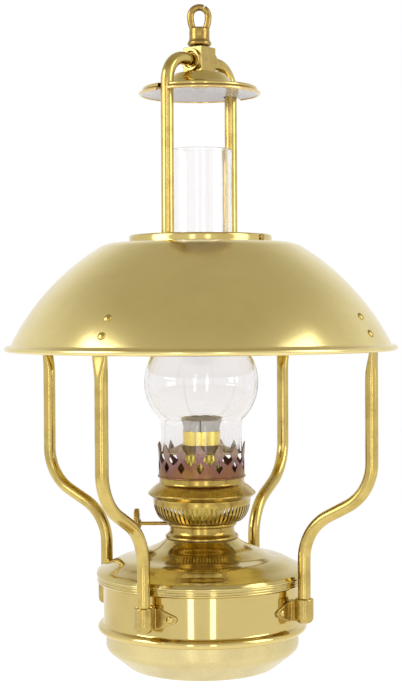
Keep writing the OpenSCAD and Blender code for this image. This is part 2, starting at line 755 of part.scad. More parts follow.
// Side of the chimney at a depth under the outer face of the glass
function chimney_side(t) =
    let (ball_z = 227.6, top_a = 47, ball = chimney_ball_r - 4, fillet = 8,
        foot_a = acos((chimney_foot_r + fillet - 4) / (ball + fillet)),
        foot_top_z = ball_z - (ball + fillet) * sin(foot_a), top_z = ball_z + ball * sin(top_a))
    concat([[chimney_foot_r - t, seat_z]],
        arc(chimney_foot_r + fillet, foot_top_z, fillet + t, 180, 180 - foot_a, 4),
        arc(4, ball_z, ball - t, 5 - foot_a, top_a, 12),
        arc(chimney_tube_r + 14, top_z + 12, 14 + t, 222, 180, 6),
        [[chimney_tube_r - t, chimney_top]]);

module chimney() {
    inner = chimney_side(glass_t);
    last = len(inner) - 1;
    color("lightblue", 0.35) hung() rotate_extrude()
        polygon(concat(chimney_side(0), [for (i = [0 : last]) inner[last - i]]));
}

hanging_eye();
swivel_screw();
hanger_block();
hanger_rod_front();
hanger_rod_back();
bell_washer();
bell_cap();
bell_distance_tube();
bell_disc();
bell_screw();
shade_collar();
collar_screw();
rod_washers();
rod_nuts();
shade();
shade_rivets();
arm_front();
arm_right();
arm_back();
arm_left();
socket_front();
socket_right();
socket_back();
socket_left();
socket_rivets();
holder_band();
tank_bowl();
tank_dome();
tank_collar();
burner_gasket();
burner_ring();
burner_floor();
burner_basket();
burner_dish();
burner_crown();
chimney_seat();
wick_tube();
air_tube();
spindle_bush();
wick();
winder_spindle();
feed_wheels();
winder_knob();
chimney();
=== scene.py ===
import math
import bmesh
import bpy
from mathutils import Matrix, Vector, geometry


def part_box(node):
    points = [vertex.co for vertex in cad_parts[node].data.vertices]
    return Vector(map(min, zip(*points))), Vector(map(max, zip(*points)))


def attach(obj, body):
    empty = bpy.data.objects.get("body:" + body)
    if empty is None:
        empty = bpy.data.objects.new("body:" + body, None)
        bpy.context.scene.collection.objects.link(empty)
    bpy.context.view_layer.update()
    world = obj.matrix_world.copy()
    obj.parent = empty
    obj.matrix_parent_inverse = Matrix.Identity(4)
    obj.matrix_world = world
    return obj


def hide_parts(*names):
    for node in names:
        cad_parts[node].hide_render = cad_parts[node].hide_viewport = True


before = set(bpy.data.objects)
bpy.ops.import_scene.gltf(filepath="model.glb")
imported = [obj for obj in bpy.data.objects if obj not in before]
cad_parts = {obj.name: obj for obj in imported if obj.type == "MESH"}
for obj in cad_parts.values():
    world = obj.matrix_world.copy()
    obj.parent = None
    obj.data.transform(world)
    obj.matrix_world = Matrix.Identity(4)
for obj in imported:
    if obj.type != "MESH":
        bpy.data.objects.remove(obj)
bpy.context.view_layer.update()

scene = bpy.context.scene

# ---- Hanging eye, its swivel screw and the hanger block ----
# The eye is a brass bar bent to a loop on a turned neck, polished by hand. A screw
# lets it swivel on the square block, a casting with one boss for each hanger rod.
# Both are filed and buffed, so every edge is slightly round.

foot_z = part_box("tank_bowl")[0].z     # heights are in millimetres above the tank's foot


def add_node(tree, kind, setup=None, **inputs):
    made = tree.nodes.new(kind)
    for key, value in (setup or {}).items():
        setattr(made, key, value)
    for key, value in inputs.items():
        numbered = key[0] == "i" and key[1:].isdigit()
        socket = made.inputs[int(key[1:])] if numbered else made.inputs[key.replace("_", " ")]
        if isinstance(value, bpy.types.NodeSocket):
            tree.links.new(value, socket)
        else:
            socket.default_value = value
    return made


def maths(tree, what, a, b=0.0, c=0.0):
    return add_node(tree, "ShaderNodeMath", {"operation": what}, i0=a, i1=b, i2=c).outputs[0]


def mixed(tree, share, a, b):
    made = add_node(tree, "ShaderNodeMix", {"data_type": "RGBA"}, i0=share, i6=a, i7=b)
    return made.outputs[2]


def spread(tree, value, low, high, to_low=0.0, to_high=1.0):
    made = add_node(tree, "ShaderNodeMapRange", {"interpolation_type": "SMOOTHSTEP"}, i0=value,
                    i1=low, i2=high, i3=to_low, i4=to_high)
    return made.outputs[0]


def noise(tree, where, scale, detail=3.0, rough=0.55):
    return add_node(tree, "ShaderNodeTexNoise", Vector=where, Scale=scale, Detail=detail,
                    Roughness=rough).outputs[0]


def new_group(name, inputs, outputs):
    tree = bpy.data.node_groups.new(name, "ShaderNodeTree")
    for label, kind, value in inputs:
        tree.interface.new_socket(label, in_out="INPUT", socket_type=kind).default_value = value
    for label, kind in outputs:
        tree.interface.new_socket(label, in_out="OUTPUT", socket_type=kind)
    return tree, tree.nodes.new("NodeGroupInput").outputs, tree.nodes.new("NodeGroupOutput").inputs


# Brass as it ages: buffed metal with browner tarnish in soft patches and small spots,
# and fine lines that run round the lantern's axis, as spinning and polishing leave them.
aged, given, put = new_group("aged brass", [
    ("Brass colour", "NodeSocketColor", (0.8, 0.6, 0.25, 1)),
    ("Tarnish colour", "NodeSocketColor", (0.4, 0.25, 0.08, 1)),
    ("Tarnish", "NodeSocketFloat", 0.3),
    ("Roughness", "NodeSocketFloat", 0.15),
    ("Patch scale", "NodeSocketFloat", 40.0),
    ("Line scale", "NodeSocketFloat", 2500.0),
    ("Wave", "NodeSocketFloat", 0.3),
], [("Color", "NodeSocketColor"), ("Roughness", "NodeSocketFloat"), ("Height", "NodeSocketFloat")])
here = add_node(aged, "ShaderNodeTexCoord").outputs["Object"]
axes = add_node(aged, "ShaderNodeSeparateXYZ", i0=here).outputs
out_r = maths(aged, "SQRT", maths(aged, "ADD", maths(aged, "MULTIPLY", axes[0], axes[0]),
                                  maths(aged, "MULTIPLY", axes[1], axes[1])))
lathe = add_node(aged, "ShaderNodeCombineXYZ", i0=out_r, i1=axes[2]).outputs[0]
lines = noise(aged, lathe, given["Line scale"], 2.0)
patches = noise(aged, here, given["Patch scale"], 5.0, 0.6)
spots = noise(aged, here, 900.0, 2.0)
waves = noise(aged, here, 70.0, 1.0)
shade_of = maths(aged, "MULTIPLY", spread(aged, patches, 0.42, 0.7), given["Tarnish"])
shade_of = maths(aged, "ADD", shade_of, maths(aged, "MULTIPLY", spread(aged, spots, 0.66, 0.76), 0.35))
shade_of = maths(aged, "MINIMUM", shade_of, 1.0)
tone = mixed(aged, maths(aged, "MULTIPLY", lines, 0.16), given["Brass colour"], given["Tarnish colour"])
aged.links.new(mixed(aged, shade_of, tone, given["Tarnish colour"]), put["Color"])
rougher = maths(aged, "MULTIPLY_ADD", shade_of, 0.16, given["Roughness"])
aged.links.new(maths(aged, "MULTIPLY_ADD", lines, 0.05, rougher), put["Roughness"])
aged.links.new(maths(aged, "MULTIPLY_ADD", waves, given["Wave"], maths(aged, "MULTIPLY", lines, 0.02)),
               put["Height"])


def brass(name, colour, tarnish_colour, tarnish, roughness, patch_scale=40.0, line_scale=2500.0,
          wave=0.3, depth=0.4):
    material = bpy.data.materials.new(name)
    material.use_nodes = True
    tree = material.node_tree
    shader = tree.nodes["Principled BSDF"]
    shader.inputs["Metallic"].default_value = 1.0
    group = add_node(tree, "ShaderNodeGroup", {"node_tree": aged})
    for label, value in (("Brass colour", (*colour, 1)), ("Tarnish colour", (*tarnish_colour, 1)),
                         ("Tarnish", tarnish), ("Roughness", roughness), ("Patch scale", patch_scale),
                         ("Line scale", line_scale), ("Wave", wave)):
        group.inputs[label].default_value = value
    tree.links.new(group.outputs["Color"], shader.inputs["Base Color"])
    tree.links.new(group.outputs["Roughness"], shader.inputs["Roughness"])
    bump = add_node(tree, "ShaderNodeBump", Strength=depth, Distance=0.0006,
                    Height=group.outputs["Height"])
    tree.links.new(bump.outputs[0], shader.inputs["Normal"])
    return material


def show(name, mesh, material, body, nodes, sharp=38):
    for face in mesh.polygons:
        face.use_smooth = True
    mesh.set_sharp_from_angle(angle=math.radians(sharp))
    mesh.materials.clear()
    mesh.materials.append(material)
    piece = bpy.data.objects.new(name, mesh)
    scene.collection.objects.link(piece)
    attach(piece, body)
    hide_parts(*nodes)
    return piece


def settled(source):
    """The plain mesh that an object's modifiers give; the object itself goes."""
    bpy.context.view_layer.update()
    shaped = source.evaluated_get(bpy.context.evaluated_depsgraph_get())
    mesh = bpy.data.meshes.new_from_object(shaped)
    bpy.data.objects.remove(source)
    return mesh


def softened(mesh, grain, rounds):
    """A solid shape as hand work leaves it, with its edges and inner corners rounded."""
    source = bpy.data.objects.new("rough shape", mesh)
    scene.collection.objects.link(source)
    remesh = source.modifiers.new("grain", "REMESH")
    remesh.mode = "VOXEL"
    remesh.voxel_size = grain
    soft = source.modifiers.new("rounding", "SMOOTH")
    soft.iterations = rounds
    soft.factor = 0.5
    return settled(source)


def casting(node, grain, rounds):
    """A casting in the shape of a node, with its edges and inner corners softened."""
    shape = bmesh.new()
    shape.from_mesh(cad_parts[node].data)
    bmesh.ops.remove_doubles(shape, verts=shape.verts, dist=2e-6)
    mesh = bpy.data.meshes.new(node)
    shape.to_mesh(mesh)
    shape.free()
    return softened(mesh, grain, rounds)


eye_brass = brass("handled brass", (0.40, 0.27, 0.075), (0.15, 0.09, 0.02), 0.6, 0.22, 130.0, wave=0.4)
cast_brass = brass("cast brass", (0.50, 0.37, 0.12), (0.25, 0.16, 0.04), 0.5, 0.18, 120.0, wave=0.3)
dark_brass = brass("shadowed brass", (0.62, 0.44, 0.16), (0.22, 0.14, 0.06), 0.6, 0.3, 90.0)
block_grain = 0.0003
show("block", casting("hanger_block", block_grain, 4), cast_brass, "lantern", ["hanger_block"])


def finish_nodes(material, *nodes):
    for node in nodes:
        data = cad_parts[node].data
        data.materials.clear()
        data.materials.append(material)


finish_nodes(cast_brass, "swivel_screw")

eye_turn = math.radians(29.2)
bar_half = 2.7
loop_half = 7.1
loop_h = 519.0
side_curve = 26.0
screw_half = 3.15
neck_top = 509.8
eye_grain = 0.00028
shape = bmesh.new()


def bar_round(turn):
    """One round of points on the eye's bar, at a turn about the loop's middle."""
    below = max(-turn, turn - math.pi, 0)
    x = loop_half - side_curve * (1 - math.cos(below)) if below else abs(loop_half * math.cos(turn))
    side = math.copysign(1, math.cos(turn))
    h = loop_h + (loop_half * math.sin(turn) if not below else -side_curve * math.sin(below))
    row = []
    for k in range(28):
        a = math.tau * k / 28
        out = bar_half * math.cos(a)
        row.append(shape.verts.new(((side * x + out * math.cos(turn)) / 1000,
                                    bar_half * math.sin(a) / 1000,
                                    foot_z + (h + out * math.sin(turn)) / 1000)))
    return row


for first, last in ((-26, 59), (65, 206)):
    rows = [bar_round(math.radians(first + (last - first) * k / 40)) for k in range(41)]
    for a, b in zip(rows, rows[1:]):
        for k in range(28):
            j = (k + 1) % 28
            shape.faces.new((a[k], a[j], b[j], b[k]))
    shape.faces.new(rows[0])
    shape.faces.new(rows[-1])
neck = [(screw_half, 495.0), (7.4, 495.0), (8.9, 495.7), (9.6, 496.9), (9.5, 498.0), (8.7, 499.1),
        (8.15, 500.6), (8.0, 503.0), (8.1, 506.5), (8.0, 508.6), (7.2, neck_top), (4.6, neck_top), (4.6, 507.9),
        (screw_half, 507.9)]
rows = []
for k in range(96):
    a = math.tau * k / 96
    rows.append([shape.verts.new((r / 1000 * math.cos(a), r / 1000 * math.sin(a), foot_z + h / 1000))
                 for r, h in neck])
for a, b in zip(rows, rows[1:] + rows[:1]):
    for i in range(len(neck)):
        j = (i + 1) % len(neck)
        shape.faces.new((a[i], b[i], b[j], a[j]))
bmesh.ops.recalc_face_normals(shape, faces=shape.faces)
bmesh.ops.rotate(shape, verts=shape.verts, cent=(0, 0, 0), matrix=Matrix.Rotation(eye_turn, 3, "Z"))
mesh = bpy.data.meshes.new("eye")
shape.to_mesh(mesh)
shape.free()
show("eye", softened(mesh, eye_grain, 5), eye_brass, "eye", ["hanging_eye"])

# ---- Hanger rods ----
# Two solid brass bars, each bent once at the top. The bent end goes into the block's
# boss, and the lower end passes through the collar and shade to a washer and nut.

rod_half = 5.0
rod_out = 41.1
rod_bend = 20.0
rod_top = 483.4
rod_turn = math.radians(81.2)
rod_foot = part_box("shade_collar")[1].z


def height(h):
    return foot_z + h / 1000


def arc(cx, cz, r, first, last, steps):
    turns = (math.radians(first + (last - first) * i / steps) for i in range(steps + 1))
    return [(cx + r * math.cos(a), cz + r * math.sin(a)) for a in turns]


bar = bpy.data.node_groups.new("bent bar", "GeometryNodeTree")
bar.interface.new_socket("Geometry", in_out="INPUT", socket_type="NodeSocketGeometry")
for label, kind in (("Bar radius", "NodeSocketFloat"), ("Sides", "NodeSocketInt"),
                    ("Metal", "NodeSocketMaterial")):
    bar.interface.new_socket(label, in_out="INPUT", socket_type=kind)
bar.interface.new_socket("Geometry", in_out="OUTPUT", socket_type="NodeSocketGeometry")
bar_in = bar.nodes.new("NodeGroupInput").outputs
ring = add_node(bar, "GeometryNodeCurvePrimitiveCircle", Resolution=bar_in["Sides"],
                Radius=bar_in["Bar radius"])
round_bar = add_node(bar, "GeometryNodeCurveToMesh", Curve=bar_in["Geometry"],
                     Profile_Curve=ring.outputs["Curve"], Fill_Caps=True)
real = add_node(bar, "GeometryNodeRealizeInstances", Geometry=round_bar.outputs[0])
dressed = add_node(bar, "GeometryNodeSetMaterial", Geometry=real.outputs[0], Material=bar_in["Metal"])
bar.links.new(dressed.outputs[0], bar.nodes.new("NodeGroupOutput").inputs[0])


def give(modifier, tree, **values):
    modifier.node_group = tree
    for item in tree.interface.items_tree:
        label = item.name.replace(" ", "_")
        if item.in_out == "INPUT" and label in values:
            modifier[item.identifier] = values[label]


rod_brass = brass("bar brass", (0.58, 0.44, 0.14), (0.30, 0.20, 0.05), 0.45, 0.13, 60.0, 900.0, 0.2)
for name, turn in (("hanger_rod_back", rod_turn), ("hanger_rod_front", rod_turn + math.pi)):
    side = [(rod_out, (rod_foot - foot_z) * 1000)]
    side += arc(rod_out - rod_bend, rod_top - rod_bend, rod_bend, 0, 90, 28)
    side += [(4.9, rod_top)]
    line = bpy.data.curves.new(name, "CURVE")
    line.dimensions = "3D"
    spline = line.splines.new("POLY")
    spline.points.add(len(side) - 1)
    for point, (r, h) in zip(spline.points, side):
        point.co = (r / 1000 * math.cos(turn), r / 1000 * math.sin(turn), height(h), 1)
    source = bpy.data.objects.new(name + " line", line)
    scene.collection.objects.link(source)
    give(source.modifiers.new("bar", "NODES"), bar, Bar_radius=rod_half / 1000, Sides=48, Metal=rod_brass)
    show(name.replace("hanger_", ""), settled(source), rod_brass, "lantern", [name])
finish_nodes(rod_brass, "rod_washers", "rod_nuts")

# ---- Smoke bell ----
# Two spun pieces on one screw: a polished brass cap with a rolled bead, and under it
# a shallow disc in white stove enamel with a bare brass edge. Each has two notches
# that let the hanger rods pass.


def spin(profile, steps=192, wobble=None):
    """A turned or spun piece: a closed profile of (radius, height) round the lantern's axis."""
    shape = bmesh.new()
    rings = []
    for k in range(steps):
        turn = math.tau * k / steps
        row = []
        for r, h in profile:
            if wobble:
                r, h = wobble(turn, r, h)
            row.append(shape.verts.new((r / 1000 * math.cos(turn), r / 1000 * math.sin(turn), height(h))))
        rings.append(row)
    count = len(profile)
    for k in range(steps):
        a, b = rings[k], rings[(k + 1) % steps]
        for i in range(count):
            j = (i + 1) % count
            shape.faces.new((a[i], b[i], b[j], a[j]))
    bmesh.ops.remove_doubles(shape, verts=shape.verts, dist=1e-7)
    bmesh.ops.dissolve_degenerate(shape, edges=shape.edges, dist=1e-7)
    bmesh.ops.recalc_face_normals(shape, faces=shape.faces)
    mesh = bpy.data.meshes.new("spun")
    shape.to_mesh(mesh)
    shape.free()
    return mesh


def shell(side, thickness):
    """The closed profile of a sheet: its side, and the same side again a thickness away to the left."""
    inner = []
    for i, (r, h) in enumerate(side):
        before, after = side[max(i - 1, 0)], side[min(i + 1, len(side) - 1)]
        dr, dh = after[0] - before[0], after[1] - before[1]
        long = math.hypot(dr, dh)
        inner.append((max(r - dh / long * thickness, 0), h + dr / long * thickness))
    return side + inner[::-1]


def eased(corners, steps=5):
    """A path whose corners (radius, height, ease) are rounded by their ease."""
    path = []
    for i, corner in enumerate(corners):
        ease = corner[2] if len(corner) > 2 else 0
        if not ease or i in (0, len(corners) - 1):
            path.append(tuple(corner[:2]))
            continue
        here, before, after = (Vector(corners[k][:2]) for k in (i, i - 1, i + 1))
        first = here + (before - here).normalized() * ease
        last = here + (after - here).normalized() * ease
        for k in range(steps + 1):
            t = k / steps
            path.append(tuple(first * (1 - t) ** 2 + here * 2 * t * (1 - t) + last * t * t))
    return path


def notched(mesh, width, low, high):
    """Cuts the two notches for the hanger rods out of a spun piece."""
    source = bpy.data.objects.new("bell blank", mesh)
    scene.collection.objects.link(source)
    cutters = []
    for turn in (rod_turn, rod_turn + math.pi):
        shape = bmesh.new()
        outline = [(rod_out + width * math.cos(a), width * math.sin(a))
                   for a in (math.pi / 2 + math.pi * k / 24 for k in range(25))]
        outline += [(rod_out + 30, -width), (rod_out + 30, width)]
        rows = [[shape.verts.new((x / 1000, y / 1000, height(h))) for x, y in outline]
                for h in (low, high)]
        for i in range(len(outline)):
            j = (i + 1) % len(outline)
            shape.faces.new((rows[0][i], rows[0][j], rows[1][j], rows[1][i]))
        shape.faces.new(rows[0])
        shape.faces.new(rows[1])
        bmesh.ops.recalc_face_normals(shape, faces=shape.faces)
        bmesh.ops.rotate(shape, verts=shape.verts, cent=(0, 0, 0), matrix=Matrix.Rotation(turn, 3, "Z"))
        cut_mesh = bpy.data.meshes.new("notch")
        shape.to_mesh(cut_mesh)
        shape.free()
        cutter = bpy.data.objects.new("notch", cut_mesh)
        scene.collection.objects.link(cutter)
        cutters.append(cutter)
        cut = source.modifiers.new("notch", "BOOLEAN")
        cut.operation = "DIFFERENCE"
        cut.solver = "EXACT"
        cut.object = cutter
    result = settled(source)
    for cutter in cutters:
        bpy.data.objects.remove(cutter)
    return result


polished = brass("polished spun brass", (0.64, 0.50, 0.18), (0.36, 0.25, 0.07), 0.3, 0.11, 28.0)
block_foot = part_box("hanger_block")[0].z
cap_top = (block_foot - foot_z) * 1000 - 1
cap_side = [(3.1, cap_top), (18.0, cap_top)] + arc(18.6, cap_top - 3, 3, 88, 25, 8)
cap_bead = 460.6
notch = (5.9, 440, 490)     # half its width, and the heights it is cut from and to
cap_side += arc(33.8, cap_top + 0.9, 11, 205, 248, 14) + [(42.2, cap_bead + 1.75)]
cap_side += arc(44.2, cap_bead, 1.7, 110, -120, 14)
cap = shell(cap_side[::-1], 0.9)
show("smoke_bell_cap", notched(spin(cap), *notch), polished, "lantern", ["bell_cap"])

bell_out = 48.6
bell_low = 456.2
disc_flat = 12.0
disc_rise = 0.2 * (bell_out - 1.2 - disc_flat)
disc_mid = bell_low + 0.6 + disc_rise
disc = [(3.1, disc_mid)] + [(disc_flat, disc_mid), (bell_out - 2.0, bell_low + 0.7)]
disc += arc(bell_out - 1.2, bell_low + 1.2, 1.2, -130, 130, 14)
disc += [(bell_out - 2.4, bell_low + 2.1), (disc_flat, disc_mid + 1.2), (3.1, disc_mid + 1.2)]

enamel = bpy.data.materials.new("white enamel")
enamel.use_nodes = True
tree = enamel.node_tree
shader = tree.nodes["Principled BSDF"]
spot = add_node(tree, "ShaderNodeTexCoord").outputs["Object"]
axes = add_node(tree, "ShaderNodeSeparateXYZ", i0=spot).outputs
out_r = maths(tree, "SQRT", maths(tree, "ADD", maths(tree, "MULTIPLY", axes[0], axes[0]),
                                  maths(tree, "MULTIPLY", axes[1], axes[1])))
bare = spread(tree, out_r, (bell_out - 2.6) / 1000, (bell_out - 2.1) / 1000)
smoky = maths(tree, "MULTIPLY", spread(tree, noise(tree, spot, 60.0, 5.0), 0.35, 0.75),
              spread(tree, out_r, 0.045, 0.0, 0.15, 1.0))
# The enamel's white is painted down to a mauve grey as painted shade on the underside, and darker still in
# smoky patches towards the middle.
white = mixed(tree, smoky, (0.55, 0.50, 0.515, 1), (0.34, 0.30, 0.305, 1))
tree.links.new(mixed(tree, bare, white, (0.72, 0.52, 0.2, 1)), shader.inputs["Base Color"])
tree.links.new(bare, shader.inputs["Metallic"])
peel = noise(tree, spot, 500.0, 2.0)
tree.links.new(maths(tree, "MULTIPLY_ADD", peel, 0.12, 0.14), shader.inputs["Roughness"])
bump = add_node(tree, "ShaderNodeBump", Strength=0.25, Distance=0.0003, Height=peel)
tree.links.new(bump.outputs[0], shader.inputs["Normal"])
shader.inputs["Coat Weight"].default_value = 0.4
shader.inputs["Coat Roughness"].default_value = 0.08
show("smoke_bell_disc", notched(spin(disc), *notch), enamel, "lantern", ["bell_disc"])
finish_nodes(cast_brass, "bell_washer", "bell_distance_tube", "bell_screw")

# ---- Shade and its collar ----
# One large disc of brass sheet spun over a former, rolled round a wire at the rim and
# polished outside. A low hollow collar stiffens the top and centres the chimney.

shade_top = (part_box("shade")[1].z - foot_z) * 1000
hole_out = 26.8
side_cx, side_cz, side_r = -20.9, 171.3, 193.0
side_low, side_high = 25.6, 57.8
shoulder_r = (shade_top - side_cz - side_r * math.sin(math.radians(side_high))) \
    / (1 - math.sin(math.radians(side_high)))
shoulder_cx = side_cx + (side_r - shoulder_r) * math.cos(math.radians(side_high))
shade_sheet = 1.0
outside = [(hole_out, shade_top), (42, shade_top)]
outside += arc(shoulder_cx, shade_top - shoulder_r, shoulder_r, 90, side_high + 2, 16)
outside += arc(side_cx, side_cz, side_r, side_high, side_low + 1.0, 72)
inside = [(shoulder_cx + (shoulder_r - 1) * math.cos(math.radians(a)),
           shade_top - shoulder_r + (shoulder_r - 1) * math.sin(math.radians(a)))
          for a in range(60, 91, 3)]
inside = arc(side_cx, side_cz, side_r - shade_sheet, side_low, side_high, 72) + inside
inside += [(42, shade_top - shade_sheet), (hole_out, shade_top - shade_sheet)]
wire = arc(154.4, 255.05, 2.25, 112, -170, 28)
shade_profile = outside + wire + inside
# The lampshade's brass is painted lighter than the polished spun brass of the cap and collar: painted light,
# standing in for the brighter overhead that its dome reflects.
brass_of_lampshade_painted_lighter = brass("brass of the lampshade, painted lighter", (0.76, 0.64, 0.28), (0.50, 0.38, 0.13), 0.22, 0.15,
                    14.0, 1800.0, 0.2, 0.25)
show("shade_spun", spin(shade_profile, 288), brass_of_lampshade_painted_lighter, "lantern", ["shade"], 50)

collar_out = 57.0
collar_top = (rod_foot - foot_z) * 1000
wall = 1.6
collar = eased([(hole_out, shade_top), (hole_out, collar_top, 0.9), (collar_out, collar_top, 2.2),
                (collar_out, shade_top + 0.9, 0.5), (collar_out + 0.35, shade_top, 0),
                (collar_out - wall, shade_top), (collar_out - wall, collar_top - wall),
                (hole_out + wall, collar_top - wall), (hole_out + wall, shade_top)])
show("collar", spin(collar, 224), polished, "lantern", ["shade_collar"])
finish_nodes(cast_brass, "collar_screw")

# ---- Rivets ----
# Brass rivets with low domed heads. Two hold each arm to the shade, closed over
# inside, and one more fixes the ear of each socket to the holder band.

rivet_ring = bpy.data.node_groups.new("rivets round the lantern", "GeometryNodeTree")
rivet_ring.interface.new_socket("Geometry", in_out="INPUT", socket_type="NodeSocketGeometry")
for label, kind in (("Count", "NodeSocketInt"), ("First turn", "NodeSocketFloat"),
                    ("Metal", "NodeSocketMaterial")):
    rivet_ring.interface.new_socket(label, in_out="INPUT", socket_type=kind)
rivet_ring.interface.new_socket("Geometry", in_out="OUTPUT", socket_type="NodeSocketGeometry")
ring_in = rivet_ring.nodes.new("NodeGroupInput").outputs
spots = add_node(rivet_ring, "GeometryNodePoints", Count=ring_in["Count"])
number = add_node(rivet_ring, "GeometryNodeInputIndex").outputs[0]
step = maths(rivet_ring, "DIVIDE", math.tau, ring_in["Count"])
turn_to = maths(rivet_ring, "MULTIPLY_ADD", number, step, ring_in["First turn"])
facing = add_node(rivet_ring, "ShaderNodeCombineXYZ", i2=turn_to).outputs[0]
copies = add_node(rivet_ring, "GeometryNodeInstanceOnPoints", Points=spots.outputs[0],
                  Instance=ring_in["Geometry"], Rotation=facing)
real = add_node(rivet_ring, "GeometryNodeRealizeInstances", Geometry=copies.outputs[0])
dressed = add_node(rivet_ring, "GeometryNodeSetMaterial", Geometry=real.outputs[0],
                   Material=ring_in["Metal"])
rivet_ring.links.new(dressed.outputs[0], rivet_ring.nodes.new("NodeGroupOutput").inputs[0])


def ringed(mesh, count, first_turn, metal):
    """Copies of a part, evenly round the lantern's axis, as one mesh."""
    source = bpy.data.objects.new("pattern", mesh)
    scene.collection.objects.link(source)
    give(source.modifiers.new("ring", "NODES"), rivet_ring, Count=count, First_turn=first_turn,
         Metal=metal)
    return settled(source)


def joined(*meshes):
    shape = bmesh.new()
    for mesh in meshes:
        shape.from_mesh(mesh)
    result = bpy.data.meshes.new("joined")
    shape.to_mesh(result)
    shape.free()
    return result


def upright(profile, steps=48):
    """A small part turned about its own upright axis, its profile counted from its own seat."""
    mesh = spin(profile, steps)
    mesh.transform(Matrix.Translation((0, 0, -foot_z)))
    return mesh


def rivet(head, rise, closed_at, closed_rise):
    """One rivet: domed head above its seat, shank below, and a flatter closed end."""
    quarter = [math.pi / 2 * k / 8 for k in range(9)]
    profile = [(head * math.sin(a), rise * math.cos(a)) for a in quarter]
    profile += [(1.55, 0), (1.55, -closed_at)]
    profile += [(head * math.cos(a), -closed_at - closed_rise * math.sin(a)) for a in quarter]
    return upright(profile)


def outward(mesh, r, h, lean):
    """Stands a part on the lantern's side, its own axis leaning out from the upright."""
    mesh.transform(Matrix.Translation((r / 1000, 0, height(h)))
                   @ Matrix.Rotation(math.radians(lean), 4, "Y"))
    return mesh


strap_thick = 3.0
rivet_rows = []
rivet_angles = (29.7, 34.2)
for angle in rivet_angles:
    seat_r = side_cx + side_r * math.cos(math.radians(angle))
    seat_h = side_cz + side_r * math.sin(math.radians(angle))
    one = outward(rivet(3.25, 1.6, shade_sheet + strap_thick, 1.35), seat_r, seat_h, 90 - angle)
    rivet_rows.append(ringed(one, 4, 0.0, rod_brass))
show("shade_rivet_heads", joined(*rivet_rows), rod_brass, "lantern", ["shade_rivets"])

# ---- Arms ----
# Four bent brass tubes. The top of each is squeezed flat and follows the inside of
# the shade, and the lower end stands in a cast socket.

arm_half = 5.0
arm_low = 90.6
arm_bend = 38.5
arm_lean = 62.0
arm_straight = 18.0
bend_from = 92.4
socket_floor = 47.0
lean = math.radians(arm_lean)
arm_high = arm_low + 2 * arm_bend * (1 - math.cos(lean)) + arm_straight * math.sin(lean)
bend_to = bend_from + 2 * arm_bend * math.sin(lean) + arm_straight * math.cos(lean)
strap_gap = 0.05
strap_depth = shade_sheet + strap_gap + strap_thick / 2

arm_line = [(arm_low, socket_floor + 0.2)] + [(arm_low, h) for h in (55, 65, 75, 85)]
arm_line += arc(arm_low + arm_bend, bend_from, arm_bend, 180, 180 - arm_lean, 20)
arm_line += arc(arm_high - arm_bend, bend_to, arm_bend, -arm_lean, 0, 20)
arm_line += [(arm_high, h) for h in (190, 205, 220, 228, 234)]
squeeze_from, squeeze_to = len(arm_line) - 1, len(arm_line) + 5
strap_line = arc(side_cx, side_cz, side_r - strap_depth, 26.7, 37.4, 14)
first_strap = Vector(strap_line[0])
for k in range(1, 6):
    t = k / 6
    ease = t * t * (3 - 2 * t)
    arm_line.append((arm_high + (first_strap.x - arm_high) * ease, 234 + (first_strap.y - 234) * t))
arm_line += strap_line


def arm_mesh(turn):
    shape = bmesh.new()
    rows = []
    last = len(arm_line) - 1
    for i, (r, h) in enumerate(arm_line):
        before, after = Vector(arm_line[max(i - 1, 0)]), Vector(arm_line[min(i + 1, last)])
        along = (after - before).normalized()
        flat = min(max((i - squeeze_from) / (squeeze_to - squeeze_from), 0), 1)
        flat = flat * flat * (3 - 2 * flat)
        thick = arm_half + (strap_thick / 2 - arm_half) * flat
        wide = arm_half + 1.0 * flat
        power = 1 - 0.62 * flat
        if i == last:
            thick, wide = thick * 0.8, wide * 0.92
        row = []
        for k in range(40):
            a = math.tau * k / 40
            c, s = math.cos(a), math.sin(a)
            out = math.copysign(abs(c) ** power, c) * thick
            side = math.copysign(abs(s) ** power, s) * wide
            row.append(shape.verts.new(((r + out * along.y) / 1000, side / 1000,
                                        height(h - out * along.x))))
        rows.append(row)
    for a, b in zip(rows, rows[1:]):
        for k in range(40):
            j = (k + 1) % 40
            shape.faces.new((a[k], a[j], b[j], b[k]))
    shape.faces.new(rows[0])
    shape.faces.new(rows[-1])
    bmesh.ops.recalc_face_normals(shape, faces=shape.faces)
    bmesh.ops.rotate(shape, verts=shape.verts, cent=(0, 0, 0), matrix=Matrix.Rotation(turn, 3, "Z"))
    mesh = bpy.data.meshes.new("arm")
    shape.to_mesh(mesh)
    shape.free()
    return mesh


arm_turns = {"front": -90, "right": 0, "back": 90, "left": 180}
for place, turn in arm_turns.items():
    show("arm_" + place + "_tube", arm_mesh(math.radians(turn)), rod_brass, "lantern", ["arm_" + place])

# ---- Sockets and holder band ----
# The band is a strip of brass spun with a rolled lower flange and polished to a
# mirror. Four cast sockets stand on it, each with one tongue-shaped ear and a rivet.

band_out = 79.2
band_sheet = 1.4
band_top = 68.4
roll_r = 3.25
roll_out = 83.8
roll_h = 32.8
socket_grain = 0.00034
for place in arm_turns:
    show("socket_" + place + "_casting", casting("socket_" + place, socket_grain, 5), cast_brass, "lantern",
         ["socket_" + place])

ear_rivet_turn = 11.4
ear_rivet_h = 51.5
one = outward(rivet(2.8, 1.5, 2.0, 0.4), band_out + 2.02, ear_rivet_h, 90)
pairs = [ringed(one, 2, math.radians(first), rod_brass)
         for first in (-90 + ear_rivet_turn, -ear_rivet_turn)]
show("ear_rivets", joined(*pairs), rod_brass, "lantern", ["socket_rivets"])

